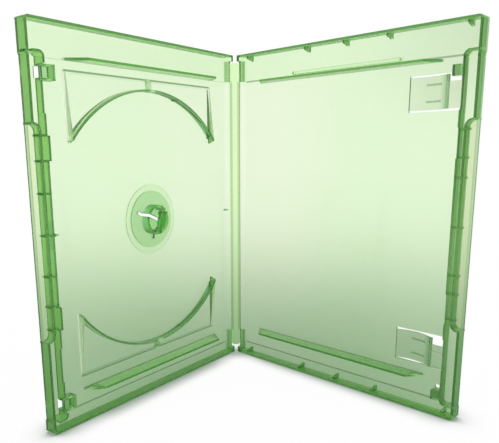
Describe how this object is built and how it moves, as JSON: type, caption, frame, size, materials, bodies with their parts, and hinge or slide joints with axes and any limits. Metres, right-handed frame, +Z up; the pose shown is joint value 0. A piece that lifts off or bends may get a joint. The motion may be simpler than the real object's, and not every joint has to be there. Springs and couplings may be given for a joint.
{
  "type": "disc case",
  "caption": "Slim translucent disc case standing open like a book: a tray cover with a disc hub and a cover with booklet clips, joined to a narrow spine by thin hinges.",
  "frame": {"origin": "middle of the case's footprint on the surface that it stands on", "axes": "+Z up along the spine, +X to the right across the open covers, +Y from the open mouth to the spine"},
  "size_m": [0.185, 0.113, 0.1715],
  "materials": {
    "case_plastic": "translucent moulded polypropylene, satin panels and glossier rims"
  },
  "bodies": {
    "spine": {"spine_strip": "case_plastic", "disc_side_hinge_film": "case_plastic", "booklet_side_hinge_film": "case_plastic"},
    "disc_cover": {"disc_cover": "case_plastic"},
    "booklet_cover": {"booklet_cover": "case_plastic"}
  },
  "joints": [
    {"name": "disc_cover_hinge", "type": "hinge", "parent": "spine", "child": "disc_cover", "pos_m": [-0.01195, 0.05406, 0.08575], "axis": [0, 0, -1], "range_deg": [-35.2, 54.8], "deforming": ["disc_side_hinge_film"]},
    {"name": "booklet_cover_hinge", "type": "hinge", "parent": "spine", "child": "booklet_cover", "pos_m": [-0.00755, 0.05406, 0.08575], "axis": [0, 0, 1], "range_deg": [-46.6, 43.4], "deforming": ["booklet_side_hinge_film"]}
  ]
}
